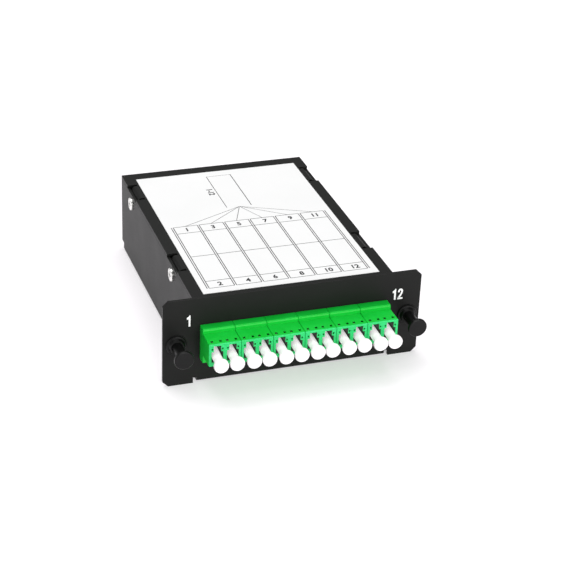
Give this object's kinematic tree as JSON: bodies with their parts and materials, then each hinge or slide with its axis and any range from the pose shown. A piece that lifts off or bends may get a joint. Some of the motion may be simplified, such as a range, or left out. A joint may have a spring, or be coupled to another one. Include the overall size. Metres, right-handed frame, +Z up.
{
  "type": "fibre cassette",
  "caption": "Flat black steel fibre cassette: labelled cover, front panel with green duplex adapters under white dust caps, and a push-pull latch at each end.",
  "frame": {"origin": "centre of the bounding box's bottom face, level with the lower edges of the front panel's two wings", "axes": "+Z up, +Y from the front panel towards the rear adapter, +X to the right seen from the front"},
  "size_m": [0.1082, 0.1539, 0.0382],
  "materials": {
    "black_steel": "fine satin powder coat",
    "cover_steel": "fine satin powder coat",
    "zinc_screw": "bright zinc",
    "label": "printed film label, smooth matt",
    "green_plastic": "moulded, satin gloss",
    "spring_steel": "pressed spring strip",
    "zirconia": "ground ceramic",
    "white_cap": "soft translucent moulding",
    "black_nylon": "fine satin moulding",
    "dark_plastic": "satin moulding",
    "yellow_jacket": "smooth cable jacket"
  },
  "bodies": {
    "cassette": {"base_tray": "black_steel", "top_cover": "cover_steel", "cover_screws": "zinc_screw", "label_sheet": "label", "adapter_1": "green_plastic", "adapter_2": "green_plastic", "adapter_3": "green_plastic", "adapter_4": "green_plastic", "adapter_5": "green_plastic", "adapter_6": "green_plastic", "adapter_clips": "spring_steel", "alignment_sleeves": "zirconia", "grommet_left": "black_nylon", "grommet_right": "black_nylon", "rear_adapter": "dark_plastic", "rear_adapter_screws": "zinc_screw", "rear_plug": "green_plastic", "rear_plug_boot": "dark_plastic", "harness_cable": "yellow_jacket", "fibre_leads": "yellow_jacket", "fibre_spool": "dark_plastic", "spool_screw": "zinc_screw", "fanout_block": "dark_plastic", "lc_plug_1": "green_plastic", "lc_plug_2": "green_plastic", "lc_plug_3": "green_plastic", "lc_plug_4": "green_plastic", "lc_plug_5": "green_plastic", "lc_plug_6": "green_plastic", "lc_plug_7": "green_plastic", "lc_plug_8": "green_plastic", "lc_plug_9": "green_plastic", "lc_plug_10": "green_plastic", "lc_plug_11": "green_plastic", "lc_plug_12": "green_plastic"},
    "dust_cap_1": {"dust_cap_1": "white_cap"},
    "dust_cap_2": {"dust_cap_2": "white_cap"},
    "dust_cap_3": {"dust_cap_3": "white_cap"},
    "dust_cap_4": {"dust_cap_4": "white_cap"},
    "dust_cap_5": {"dust_cap_5": "white_cap"},
    "dust_cap_6": {"dust_cap_6": "white_cap"},
    "dust_cap_7": {"dust_cap_7": "white_cap"},
    "dust_cap_8": {"dust_cap_8": "white_cap"},
    "dust_cap_9": {"dust_cap_9": "white_cap"},
    "dust_cap_10": {"dust_cap_10": "white_cap"},
    "dust_cap_11": {"dust_cap_11": "white_cap"},
    "dust_cap_12": {"dust_cap_12": "white_cap"},
    "plunger_left": {"plunger_left": "black_nylon"},
    "plunger_right": {"plunger_right": "black_nylon"},
    "rear_dust_cap": {"rear_dust_cap": "dark_plastic"}
  },
  "joints": [
    {"name": "dust_cap_1_pull", "type": "slide", "parent": "cassette", "child": "dust_cap_1", "axis": [0, -1, 0], "range_m": [0, 0.016]},
    {"name": "dust_cap_2_pull", "type": "slide", "parent": "cassette", "child": "dust_cap_2", "axis": [0, -1, 0], "range_m": [0, 0.016]},
    {"name": "dust_cap_3_pull", "type": "slide", "parent": "cassette", "child": "dust_cap_3", "axis": [0, -1, 0], "range_m": [0, 0.016]},
    {"name": "dust_cap_4_pull", "type": "slide", "parent": "cassette", "child": "dust_cap_4", "axis": [0, -1, 0], "range_m": [0, 0.016]},
    {"name": "dust_cap_5_pull", "type": "slide", "parent": "cassette", "child": "dust_cap_5", "axis": [0, -1, 0], "range_m": [0, 0.016]},
    {"name": "dust_cap_6_pull", "type": "slide", "parent": "cassette", "child": "dust_cap_6", "axis": [0, -1, 0], "range_m": [0, 0.016]},
    {"name": "dust_cap_7_pull", "type": "slide", "parent": "cassette", "child": "dust_cap_7", "axis": [0, -1, 0], "range_m": [0, 0.016]},
    {"name": "dust_cap_8_pull", "type": "slide", "parent": "cassette", "child": "dust_cap_8", "axis": [0, -1, 0], "range_m": [0, 0.016]},
    {"name": "dust_cap_9_pull", "type": "slide", "parent": "cassette", "child": "dust_cap_9", "axis": [0, -1, 0], "range_m": [0, 0.016]},
    {"name": "dust_cap_10_pull", "type": "slide", "parent": "cassette", "child": "dust_cap_10", "axis": [0, -1, 0], "range_m": [0, 0.016]},
    {"name": "dust_cap_11_pull", "type": "slide", "parent": "cassette", "child": "dust_cap_11", "axis": [0, -1, 0], "range_m": [0, 0.016]},
    {"name": "dust_cap_12_pull", "type": "slide", "parent": "cassette", "child": "dust_cap_12", "axis": [0, -1, 0], "range_m": [0, 0.016]},
    {"name": "latch_left_push", "type": "slide", "parent": "cassette", "child": "plunger_left", "axis": [0, 1, 0], "range_m": [0, 0.0058]},
    {"name": "latch_right_push", "type": "slide", "parent": "cassette", "child": "plunger_right", "axis": [0, 1, 0], "range_m": [0, 0.0058]},
    {"name": "rear_dust_cap_pull", "type": "slide", "parent": "cassette", "child": "rear_dust_cap", "axis": [0, 1, 0], "range_m": [0, 0.012]}
  ]
}
